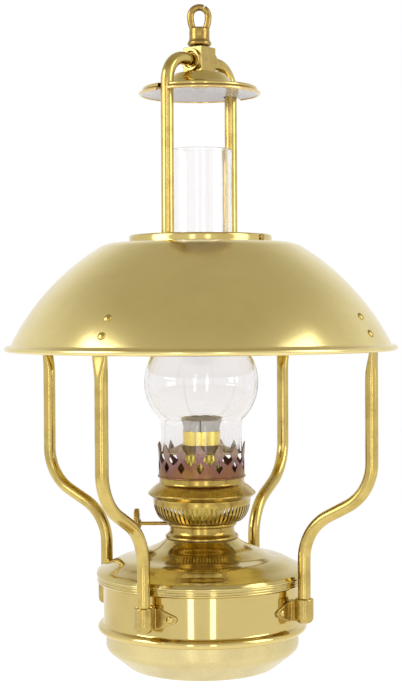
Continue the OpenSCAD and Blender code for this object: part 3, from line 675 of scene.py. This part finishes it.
mirror_brass = brass("mirror brass", (0.66, 0.52, 0.20), (0.38, 0.26, 0.08), 0.2, 0.05,
                     24.0, 1500.0, 0.2, 0.25)
inner_r = band_out - band_sheet
band = eased([(inner_r, 31.0), (inner_r, band_top, 0.5), (band_out, band_top, 0.5), (band_out, 37.6)])
band += [(79.5, 36.7), (80.1, 36.15)] + arc(roll_out - roll_r, roll_h, roll_r, 80, -150, 28)
show("band", spin(band, 288), mirror_brass, "lantern", ["holder_band"], 50)

# ---- Oil tank ----
# Two brass spinnings seamed at the lip: a satin bowl with a flat foot and a mirror
# polished dome that sweeps up to the neck. Three fine beads are rolled into the lip.

tank_out = 77.2
foot_out = 57.5
lip_out = 84.8
neck_out = 28.65
bowl_side = eased([(0, 0), (foot_out + 0.4, 0, 2.6), (tank_out - 3.0, 13.0)], 9)[:-1]
bowl_side += arc(tank_out - 8.5, 19.6, 8.5, -50, 0, 16) + [(tank_out, band_top + 4)]
bowl = shell(bowl_side, 1.0)
satin_brass = brass("satin brass", (0.62, 0.52, 0.25), (0.42, 0.32, 0.13), 0.3, 0.24,
                    30.0, 3200.0, 0.1, 0.4)
show("bowl", spin(bowl, 224), satin_brass, "tank", ["tank_bowl"])

join_r, join_h, join_a = 55.0, 90.0, 14.0
long_r, sweep_r = 106.0, 70.0
join = math.radians(join_a)
long_cx, long_cz = join_r - long_r * math.sin(join), join_h - long_r * math.cos(join)
sweep_cx, sweep_cz = join_r + sweep_r * math.sin(join), join_h + sweep_r * math.cos(join)
lip_a = math.degrees(math.asin((lip_out - 0.9 - long_cx) / long_r))
neck_a = math.degrees(math.asin((sweep_cx - neck_out) / sweep_r))
dome_side = [(tank_out, band_top), (83.0, band_top), (83.5, band_top + 0.5)]
for k in range(3):
    dome_side += arc(83.5, band_top + 1.5 + 1.9 * k, 0.78, -70, 70, 7)
dome_side += arc(lip_out - 1.1, band_top + 6.7, 1.1, -50, 60, 8)
dome_side += arc(long_cx, long_cz, long_r, 90 - lip_a, 90 - join_a, 40)
dome_side += arc(sweep_cx, sweep_cz, sweep_r, 269 - join_a, 270 - neck_a, 32)
dome_back = arc(sweep_cx, sweep_cz, sweep_r + 1, 270 - neck_a, 269 - join_a, 16)
dome_back += arc(long_cx, long_cz, long_r - 1, 90 - join_a, 90 - lip_a + 1, 16)
dome_back += [(lip_out - 2.6, band_top + 6.6), (82, band_top + 1), (tank_out, band_top + 1)]


def spun_ripple(turn, r, h):
    """The faint rings and waves that spinning leaves, seen only in what the dome reflects."""
    ring_wave = 0.5 * math.cos(math.tau * (r - 44) / 22) * min(max((82 - r) / 8, 0), 1)
    return r, h + ring_wave + 0.04 * math.sin(3 * turn + r * 0.12)


dome_brass = brass("dome brass", (0.60, 0.49, 0.20), (0.36, 0.26, 0.09), 0.35, 0.09,
                   40.0, 2200.0, 0.3, 0.3)
show("dome", spin(dome_side + dome_back, 256, spun_ripple), dome_brass, "tank", ["tank_dome"],
     50)
finish_nodes(dark_brass, "tank_collar")

# ---- Burner: gasket, ring, slotted basket, dish, seat and tubes ----
# Thin pressed and spun brass, golden where it was lacquered and browner where it gets
# hot. The basket has a row of upright air slots; a cork gasket seals the ring.

burner_brass = brass("burner brass", (0.46, 0.33, 0.085), (0.19, 0.11, 0.025), 0.55, 0.17,
                     110.0, 2500.0, 0.2)
hot_brass = brass("browned brass", (0.42, 0.28, 0.09), (0.16, 0.09, 0.04), 0.7, 0.3, 120.0, 2500.0, 0.4)
tube_brass = brass("wick tube brass", (0.92, 0.74, 0.16), (0.6, 0.42, 0.1), 0.25, 0.22, 80.0)

cork = bpy.data.materials.new("oiled cork")
cork.use_nodes = True
tree = cork.node_tree
shader = tree.nodes["Principled BSDF"]
spot = add_node(tree, "ShaderNodeTexCoord").outputs["Object"]
grains = noise(tree, spot, 1800.0, 4.0)
tree.links.new(mixed(tree, spread(tree, grains, 0.4, 0.65), (0.1, 0.06, 0.03, 1), (0.3, 0.2, 0.12, 1)),
               shader.inputs["Base Color"])
tree.links.new(maths(tree, "MULTIPLY_ADD", grains, 0.2, 0.65), shader.inputs["Roughness"])
bump = add_node(tree, "ShaderNodeBump", Strength=0.6, Distance=0.0004, Height=grains)
tree.links.new(bump.outputs[0], shader.inputs["Normal"])
finish_nodes(cork, "burner_gasket")

ring_foot = 103.4
basket_foot = 116.3
ring = [(21.8, 94), (23.4, 94), (23.4, ring_foot), (28.6, ring_foot)]
ring += eased([(28.6, ring_foot), (29.4, ring_foot + 0.3, 0.2), (29.2, ring_foot + 1.6, 0.5),
               (26.5, 107.2, 1.2), (25.9, 109, 0.8), (25.9, 112.6)])
ring += arc(26.3, basket_foot - 1.7, 1.7, -70, 85, 12) + [(24.4, basket_foot), (24.4, 105), (21.8, 105)]
show("burner_ring_spun", spin(ring), burner_brass, "burner", ["burner_ring"])
finish_nodes(dark_brass, "burner_floor")
finish_nodes(tube_brass, "air_tube")
finish_nodes(burner_brass, "spindle_bush")

slots = bpy.data.node_groups.new("air slots", "GeometryNodeTree")
slots.interface.new_socket("Geometry", in_out="INPUT", socket_type="NodeSocketGeometry")
for label, kind in (("Count", "NodeSocketInt"), ("Share", "NodeSocketFloat"), ("Low", "NodeSocketFloat"),
                    ("High", "NodeSocketFloat"), ("Metal", "NodeSocketMaterial")):
    slots.interface.new_socket(label, in_out="INPUT", socket_type=kind)
slots.interface.new_socket("Geometry", in_out="OUTPUT", socket_type="NodeSocketGeometry")
slots_in = slots.nodes.new("NodeGroupInput").outputs
place_of = add_node(slots, "GeometryNodeInputPosition").outputs[0]
parts = add_node(slots, "ShaderNodeSeparateXYZ", i0=place_of).outputs
turn_of = maths(slots, "ARCTAN2", parts[1], parts[0])
cell = maths(slots, "FRACT", maths(slots, "MULTIPLY", maths(slots, "DIVIDE", turn_of, math.tau),
                                   slots_in["Count"]))
open_here = maths(slots, "MULTIPLY", maths(slots, "LESS_THAN", cell, slots_in["Share"]),
                  maths(slots, "MULTIPLY", maths(slots, "GREATER_THAN", parts[2], slots_in["Low"]),
                        maths(slots, "LESS_THAN", parts[2], slots_in["High"])))
punched = add_node(slots, "GeometryNodeDeleteGeometry", {"domain": "FACE"}, Geometry=slots_in["Geometry"],
                   Selection=open_here)
real = add_node(slots, "GeometryNodeRealizeInstances", Geometry=punched.outputs[0])
dressed = add_node(slots, "GeometryNodeSetMaterial", Geometry=real.outputs[0], Material=slots_in["Metal"])
slots.links.new(dressed.outputs[0], slots.nodes.new("NodeGroupOutput").inputs[0])

basket_slots = 64
basket_top = 134.0
basket_grid = 7 * basket_slots
side = [(28.5 + 10.5 * math.cos(a), basket_top - (basket_top - basket_foot) * math.sin(a))
        for a in (math.pi / 2 * k / 22 for k in range(23))] + [(24.4, basket_foot)]
shape = bmesh.new()
rows = []
for k in range(basket_grid):
    a = math.tau * k / basket_grid
    rows.append([shape.verts.new((r / 1000 * math.cos(a), r / 1000 * math.sin(a), height(h)))
                 for r, h in side])
for k in range(basket_grid):
    a, b = rows[k], rows[(k + 1) % basket_grid]
    for i in range(len(side) - 1):
        shape.faces.new((a[i + 1], b[i + 1], b[i], a[i]))
mesh = bpy.data.meshes.new("basket blank")
shape.to_mesh(mesh)
shape.free()
source = bpy.data.objects.new("basket blank", mesh)
scene.collection.objects.link(source)
give(source.modifiers.new("slots", "NODES"), slots, Count=basket_slots, Share=0.45, Low=height(117.0),
     High=height(130.6), Metal=burner_brass)
sheet = source.modifiers.new("sheet", "SOLIDIFY")
sheet.thickness = 0.0008
sheet.offset = -1
show("basket", settled(source), burner_brass, "burner", ["burner_basket"])

crown_foot = 151.6
dish_side = eased([(39.1, basket_top), (39.3, 135.2, 0.4), (43.2, 138.3, 0.5), (43.3, 139.2, 0.4),
                   (38.0, 144.6, 2.5), (33.9, 147.2, 1.2), (33.9, crown_foot)], 6)
show("dish", spin(shell(dish_side, 0.8)), burner_brass, "burner", ["burner_dish"])
seat_h = 172.0
seat_side = eased([(33.4, seat_h), (28.6, seat_h, 1.0), (17.0, seat_h + 5.6, 0.8), (15.1, seat_h + 5.6)])
show("seat", spin(shell(seat_side, 0.6)), hot_brass, "burner", ["chimney_seat"])
tube_top = 188.6
tube = eased([(14.6, 100), (15.1, 100), (15.1, tube_top, 0.25), (14.6, tube_top, 0.2), (14.6, 100.5)])
show("wick_tube_turned", spin(tube, 128), tube_brass, "burner", ["wick_tube"])

# ---- Burner crown ----
# A ring of thin brass cut into pointed heads on spreading legs, which grip the foot
# of the chimney. The flame's heat has turned it red-brown and purple.

crown_out = 34.4
crown_points = 14
crown_turn = math.radians(-60.8 - 2.1)
pitch = math.tau * crown_out / crown_points
half = pitch / 2
outline = [(-half, 152.6), (half, 152.6), (half, 163.2), (half - 1.0, 163.9), (3.6, 166.2), (2.7, 167.6),
           (2.9, 168.4), (3.7, 169.6), (4.3, 170.9), (4.35, 171.8), (3.95, 173.0), (2.9, 174.8),
           (1.7, 176.6), (0.6, 178.6), (0, 179.3)]
outline += [(-s, h) for s, h in outline[-2:1:-1]]
window = [(0, 156.6), (1.2, 158.2), (3.0, 160.6), (3.15, 161.4), (2.6, 162.4), (1.1, 164.6), (0, 165.8)]
window += [(-s, h) for s, h in window[-2:0:-1]]


def inside_of(loop, s, h):
    found = False
    for (s0, h0), (s1, h1) in zip(loop, loop[1:] + loop[:1]):
        if (h0 > h) != (h1 > h) and s < (s1 - s0) * (h - h0) / (h1 - h0) + s0:
            found = not found
    return found


def dense(loop, step=0.45):
    points = []
    for a, b in zip(loop, loop[1:] + loop[:1]):
        count = max(1, round(math.dist(a, b) / step))
        points += [(a[0] + (b[0] - a[0]) * k / count, a[1] + (b[1] - a[1]) * k / count)
                   for k in range(count)]
    return points


edge_points = dense(outline)
window_points = dense(window)
known = edge_points + window_points
inner_points = []
for i in range(-18, 19):
    for j in range(60):
        s, h = i * 0.45 + (0.22 if j % 2 else 0), 152.9 + j * 0.45
        if inside_of(outline, s, h) and not inside_of(window, s, h) \
                and min(math.dist((s, h), p) for p in known) > 0.25:
            inner_points.append((s, h))
cuts = [(k, (k + 1) % len(edge_points)) for k in range(len(edge_points))]
cuts += [(len(edge_points) + k, len(edge_points) + (k + 1) % len(window_points))
         for k in range(len(window_points))]
flat_points = [Vector(p) for p in known + inner_points]
points, _, tiles, _, _, _ = geometry.delaunay_2d_cdt(flat_points, cuts, [], 0, 1e-4)
shape = bmesh.new()
verts = []
for s, h in points:
    a = s / crown_out
    reach = crown_out + 0.10 * max(0, h - 168) * math.cos(math.pi * s / pitch)
    verts.append(shape.verts.new((reach / 1000 * math.cos(a), reach / 1000 * math.sin(a), height(h))))
for tile in tiles:
    s = sum(points[k].x for k in tile) / 3
    h = sum(points[k].y for k in tile) / 3
    if inside_of(outline, s, h) and not inside_of(window, s, h):
        shape.faces.new([verts[k] for k in tile])
mesh = bpy.data.meshes.new("crown point")
shape.to_mesh(mesh)
shape.free()

heat_brass = bpy.data.materials.new("heat tinted brass")
heat_brass.use_nodes = True
tree = heat_brass.node_tree
shader = tree.nodes["Principled BSDF"]
shader.inputs["Metallic"].default_value = 1.0
spot = add_node(tree, "ShaderNodeTexCoord").outputs["Object"]
axes = add_node(tree, "ShaderNodeSeparateXYZ", i0=spot).outputs
high = spread(tree, axes[2], height(150), height(179))
cloud = noise(tree, spot, 55.0, 4.0, 0.65)
fine = noise(tree, spot, 500.0, 3.0)
heat = maths(tree, "ADD", maths(tree, "MULTIPLY", high, 0.45), maths(tree, "MULTIPLY", cloud, 0.75))
ramp = tree.nodes.new("ShaderNodeValToRGB")
tree.links.new(heat, ramp.inputs[0])
ramp.color_ramp.elements[0].position = 0.28
ramp.color_ramp.elements[0].color = (0.30, 0.17, 0.05, 1)
ramp.color_ramp.elements[1].position = 0.8
ramp.color_ramp.elements[1].color = (0.33, 0.24, 0.17, 1)
for position, colour in ((0.45, (0.22, 0.10, 0.05, 1)), (0.62, (0.22, 0.11, 0.11, 1))):
    ramp.color_ramp.elements.new(position).color = colour
sooty = mixed(tree, spread(tree, fine, 0.5, 0.75, 0.0, 0.6), ramp.outputs[0], (0.1, 0.06, 0.05, 1))
tree.links.new(sooty, shader.inputs["Base Color"])
tree.links.new(maths(tree, "MULTIPLY_ADD", fine, 0.2, 0.26), shader.inputs["Roughness"])
bump = add_node(tree, "ShaderNodeBump", Strength=0.3, Distance=0.0004, Height=fine)
tree.links.new(bump.outputs[0], shader.inputs["Normal"])

source = bpy.data.objects.new("crown blank", ringed(mesh, crown_points, crown_turn, heat_brass))
scene.collection.objects.link(source)
weld = source.modifiers.new("weld", "WELD")
weld.merge_threshold = 0.00002
sheet = source.modifiers.new("sheet", "SOLIDIFY")
sheet.thickness = 0.0008
sheet.offset = -1
foot_ring = [(32.6, crown_foot), (34.2, crown_foot)] + arc(crown_out, crown_foot + 0.95, 0.9, -90, 90, 10)
foot_ring += [(33.7, crown_foot + 1.85), (33.7, crown_foot + 0.8), (32.6, crown_foot + 0.8)]
show("crown", joined(settled(source), spin(foot_ring)), heat_brass, "burner", ["burner_crown"],
     45)

# ---- Wick ----
# A thick tube of woven cotton, cut from flat wick and closed to a ring with one seam.
# The rim has spread a little over the tube and is charred by the flame.

wick_out, wick_in = 14.4, 12.4
wick_foot, wick_top = 14.0, 199.6
seam_turn = math.radians(296.0)


def frayed(turn, r, h):
    lift = max(0.0, (h - 189.0) / (wick_top - 189.0))
    spread_out = 2.1 * lift ** 2.4 * (1 + 0.12 * math.sin(5 * turn) + 0.1 * math.sin(13 * turn + 1))
    droop = 0.5 * lift ** 4 * (math.sin(turn - 0.2) + 0.3 * math.sin(11 * turn)) - 0.6 * lift ** 4
    from_seam = (turn - seam_turn + math.pi) % math.tau - math.pi
    seam = -0.8 * math.exp(-(from_seam / 0.035) ** 2)
    rib = 0.09 * math.cos(64 * turn) if 15 < h < 198 else 0
    return r + spread_out + rib + seam, h + droop


wick_side = [(wick_in, wick_foot), (wick_out, wick_foot), (wick_out, 180)]
wick_side += [(wick_out, 186 + k) for k in range(13)]
wick_side += [(wick_out - 0.1, wick_top - 0.5), (wick_out - 0.5, wick_top), (wick_in + 0.5, wick_top),
              (wick_in + 0.1, wick_top - 0.5)]
wick_side += [(wick_in, 198 - k) for k in range(13)] + [(wick_in, 180)]

cotton = bpy.data.materials.new("wick cotton")
cotton.use_nodes = True
tree = cotton.node_tree
shader = tree.nodes["Principled BSDF"]
spot = add_node(tree, "ShaderNodeTexCoord").outputs["Object"]
axes = add_node(tree, "ShaderNodeSeparateXYZ", i0=spot).outputs
turn_of = maths(tree, "ARCTAN2", axes[1], axes[0])
weft = maths(tree, "SINE", maths(tree, "MULTIPLY", axes[2], math.tau / 0.0009))
warp = maths(tree, "SINE", maths(tree, "MULTIPLY", turn_of, 64.0))
weave = maths(tree, "MULTIPLY", weft, warp)
fuzz = noise(tree, spot, 1500.0, 4.0)
cloud = noise(tree, spot, 160.0, 3.0)
burnt_h = maths(tree, "ADD", axes[2], maths(tree, "MULTIPLY_ADD", cloud, 0.004, -0.002))
burnt = spread(tree, burnt_h, height(198.6), height(200.4))
from_seam = maths(tree, "ABSOLUTE", maths(tree, "SUBTRACT", turn_of, seam_turn - math.tau))
burnt = maths(tree, "MAXIMUM", burnt, spread(tree, from_seam, 0.055, 0.025, 0.0, 0.9))
yarn = mixed(tree, spread(tree, weave, -1.0, 1.0, 0.0, 0.5), (0.92, 0.90, 0.88, 1), (0.76, 0.73, 0.68, 1))
yarn = mixed(tree, maths(tree, "MULTIPLY", fuzz, 0.35), yarn, (0.68, 0.64, 0.58, 1))
tree.links.new(mixed(tree, burnt, yarn, (0.09, 0.075, 0.06, 1)), shader.inputs["Base Color"])
tree.links.new(maths(tree, "MULTIPLY_ADD", fuzz, 0.15, 0.8), shader.inputs["Roughness"])
shader.inputs["Sheen Weight"].default_value = 0.3
bump = add_node(tree, "ShaderNodeBump", Strength=0.7, Distance=0.0004,
                Height=maths(tree, "MULTIPLY_ADD", weave, 0.4, fuzz))
tree.links.new(bump.outputs[0], shader.inputs["Normal"])
show("wick_cotton", spin(wick_side, 320, frayed), cotton, "wick", ["wick"], 60)

# ---- Wick winder ----
# A round knob with a fluted edge on a thin spindle. Two toothed wheels on the spindle
# carry the wick up and down; they are hidden in the burner.

finish_nodes(burner_brass, "winder_spindle", "feed_wheels")
winder_turn = math.radians(209.2)
winder_off = 18.7
winder_h = 111.6
knob_along = 53.0
knob_r = 12.2
flutes = 48


def fluted(turn, r, h):
    return (r - 0.22 * (1 - abs(math.sin(flutes * turn / 2))), h) if r > knob_r - 0.5 else (r, h)


face = [(1.5, -3.5), (3.2, -3.5), (3.4, -3.3), (3.5, -2.3), (4.2, -1.9), (8.4, -1.9), (9.3, -2.3),
        (10.6, -2.3), (11.5, -2.1), (12.05, -1.6), (12.2, -0.9)]
knob_profile = face + [(12.2, 0.9), (12.05, 1.6), (11.5, 2.1), (10.6, 2.3), (9.3, 2.3), (8.4, 1.9),
                       (4.2, 1.9), (3.5, 2.3), (3.4, 2.6), (3.2, 2.7), (1.5, 2.7)]
mesh = spin(knob_profile, 384, fluted)
mesh.transform(Matrix.Translation((0, 0, -foot_z)))
mesh.transform(Matrix.Rotation(winder_turn, 4, "Z")
               @ Matrix.Translation((knob_along / 1000, -winder_off / 1000, height(winder_h)))
               @ Matrix.Rotation(math.pi / 2, 4, "Y"))
show("knob", mesh, burner_brass, "winder", ["winder_knob"], 30)

# ---- Chimney ----
# One piece of clear blown glass: a straight foot that stands in the crown, a ball
# round the flame and a long tube, its top edge melted round in the fire.

glass_thick = 1.4
glass_foot, glass_top = 172.0, 413.0
ball_h = 227.6
ball_middle = 4
ball = 45.7 - ball_middle
ball_top_a = 47
tube_r = 25.2
foot_r = 32.3
fillet = 8.0
fillet_a = math.degrees(math.acos((foot_r + fillet - ball_middle) / (ball + fillet)))
fillet_h = ball_h - (ball + fillet) * math.sin(math.radians(fillet_a))
ball_top_h = ball_h + ball * math.sin(math.radians(ball_top_a))


def glass_side(depth):
    side = [(foot_r - depth, glass_foot + 0.5)] + [(foot_r - depth, 175 + 3 * k) for k in range(6)]
    side += arc(foot_r + fillet, fillet_h, fillet + depth, 180, 180 - fillet_a, 14)
    side += arc(ball_middle, ball_h, ball - depth, 1 - fillet_a, ball_top_a, 60)
    side += arc(tube_r + 14, ball_top_h + 12, 14 + depth, 219, 180, 18)
    side += [(tube_r - depth, h) for h in (300, 340, 380, 400)]
    return side


rim_r = tube_r - glass_thick / 2
chimney = glass_side(0) + arc(rim_r, glass_top - 1.0, 1.0, 0, 180, 12) + glass_side(glass_thick)[::-1]
chimney += [(foot_r - glass_thick + 0.4, glass_foot), (foot_r - 0.4, glass_foot)]

glass = bpy.data.materials.new("clear glass")
glass.use_nodes = True
tree = glass.node_tree
shader = tree.nodes["Principled BSDF"]
shader.inputs["Transmission Weight"].default_value = 1.0
shader.inputs["IOR"].default_value = 1.47
spot = add_node(tree, "ShaderNodeTexCoord").outputs["Object"]
glass_h = add_node(tree, "ShaderNodeSeparateXYZ", i0=spot).outputs[2]
# The glass is tinted a little darker and warmer low down, round the ball, than up the tube.
low_glass_tint = mixed(tree, spread(tree, glass_h, height(245), height(300)), (0.93, 0.915, 0.91, 1),
               (0.975, 0.965, 0.968, 1))
tree.links.new(low_glass_tint, shader.inputs["Base Color"])
breath = noise(tree, spot, 25.0, 3.0)
dust = noise(tree, spot, 1400.0, 2.0)
tree.links.new(maths(tree, "MULTIPLY", spread(tree, dust, 0.6, 0.8), 0.05), shader.inputs["Roughness"])
bump = add_node(tree, "ShaderNodeBump", Strength=0.12, Distance=0.002, Height=breath)
tree.links.new(bump.outputs[0], shader.inputs["Normal"])
show("chimney_blown", spin(chimney, 192), glass, "chimney", ["chimney"])

# ---- Floor, light and camera ----
# A plain pale studio: the lantern hangs over a floor before a white background, which
# metal and glass show too. Soft lamps light it, and it is seen a little from its right.

floor_drop = 0.30
floor = bpy.data.meshes.new("floor")
shape = bmesh.new()
bmesh.ops.create_grid(shape, x_segments=1, y_segments=1, size=6.0)
bmesh.ops.translate(shape, verts=shape.verts, vec=(0, 0, foot_z - floor_drop))
shape.to_mesh(floor)
shape.free()
floor_piece = bpy.data.objects.new("floor", floor)
scene.collection.objects.link(floor_piece)
pale = bpy.data.materials.new("pale floor")
pale.use_nodes = True
tree = pale.node_tree
shader = tree.nodes["Principled BSDF"]
shader.inputs["Roughness"].default_value = 0.9
shader.inputs["Specular IOR Level"].default_value = 0.1
rays = add_node(tree, "ShaderNodeLightPath").outputs
shader.inputs["Base Color"].default_value = (0.9, 0.9, 0.9, 1)
seen = maths(tree, "MAXIMUM", rays["Is Camera Ray"],
             maths(tree, "MAXIMUM", rays["Is Glossy Ray"], rays["Is Transmission Ray"]))
shader.inputs["Emission Color"].default_value = (1, 1, 1, 1)
tree.links.new(maths(tree, "MULTIPLY", seen, 0.4), shader.inputs["Emission Strength"])
floor.materials.append(pale)

world = bpy.data.worlds.new("studio")
scene.world = world
world.use_nodes = True
tree = world.node_tree
direction = add_node(tree, "ShaderNodeTexCoord").outputs["Generated"]
axes = add_node(tree, "ShaderNodeSeparateXYZ", i0=direction).outputs
rays = add_node(tree, "ShaderNodeLightPath").outputs
roof = spread(tree, axes[2], 0.3, 0.9)
room = mixed(tree, roof, (1, 1, 1, 1), (0.56, 0.52, 0.43, 1))
plain = maths(tree, "MAXIMUM", rays["Is Camera Ray"], rays["Is Transmission Ray"])
other = mixed(tree, rays["Is Glossy Ray"], (0.66, 0.66, 0.66, 1), room)
seen = mixed(tree, plain, other, (1, 1, 1, 1))
background = tree.nodes["Background"]
tree.links.new(seen, background.inputs["Color"])


def lamp(name, place, aim, size, power):
    light = bpy.data.lights.new(name, "AREA")
    light.shape = "RECTANGLE"
    light.size, light.size_y = size
    light.energy = power
    holder = bpy.data.objects.new(name, light)
    scene.collection.objects.link(holder)
    way = Vector(aim) - Vector(place)
    holder.matrix_world = Matrix.Translation(place) @ way.to_track_quat("-Z", "Y").to_matrix().to_4x4()


lamp("key softbox", (-1.0, -1.3, 0.45), (0, 0, -0.3), (0.9, 1.2), 14)
lamp("fill softbox", (1.5, 0.2, 0.3), (0, 0, -0.3), (0.7, 1.3), 8)
lamp("left strip", (0.48, -1.63, -0.25), (0, 0, -0.25), (0.16, 1.1), 1.8)
lamp("right strip", (1.11, -1.29, -0.25), (0, 0, -0.25), (0.16, 1.1), 1.5)

view_turn = math.radians(29.2)
distance = 1.25
camera = bpy.data.cameras.new("camera")
camera.lens = 81.6
camera.sensor_width = 36
eye_point = Vector((distance * math.sin(view_turn), -distance * math.cos(view_turn), -0.2366))
holder = bpy.data.objects.new("camera", camera)
scene.collection.objects.link(holder)
pitch_down = math.radians(-1.34)
roll = math.radians(-0.3)
holder.matrix_world = (Matrix.Translation(eye_point) @ Matrix.Rotation(view_turn, 4, "Z")
                       @ Matrix.Rotation(math.pi / 2 + pitch_down, 4, "X")
                       @ Matrix.Rotation(roll, 4, "Z"))
scene.camera = holder
scene.view_settings.view_transform = "Standard"
